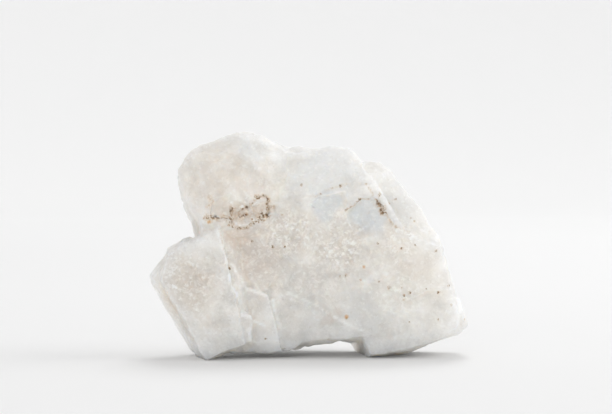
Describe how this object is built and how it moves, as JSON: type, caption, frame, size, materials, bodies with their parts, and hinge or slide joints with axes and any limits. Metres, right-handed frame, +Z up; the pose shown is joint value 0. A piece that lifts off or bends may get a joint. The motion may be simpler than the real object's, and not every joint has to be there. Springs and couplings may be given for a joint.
{
  "type": "rough calcite specimen",
  "caption": "Rough milky calcite fragment with flat cleavage faces, stepped ledges and a rust-stained crust, standing on its worn ledge tips as a display specimen.",
  "frame": {"origin": "middle of the bounding box in plan, on the surface the stone stands on", "axes": "+X along the stone's length, to the right in the picture; +Y through its thickness, away from the picture's viewer; +Z up"},
  "size_m": [0.0706, 0.0234, 0.0498],
  "materials": {
    "calcite": "milky and slightly see-through, satin on cleavage faces, dull where broken, rust-brown specks"
  },
  "bodies": {
    "root": {"calcite": "calcite"}
  },
  "joints": []
}
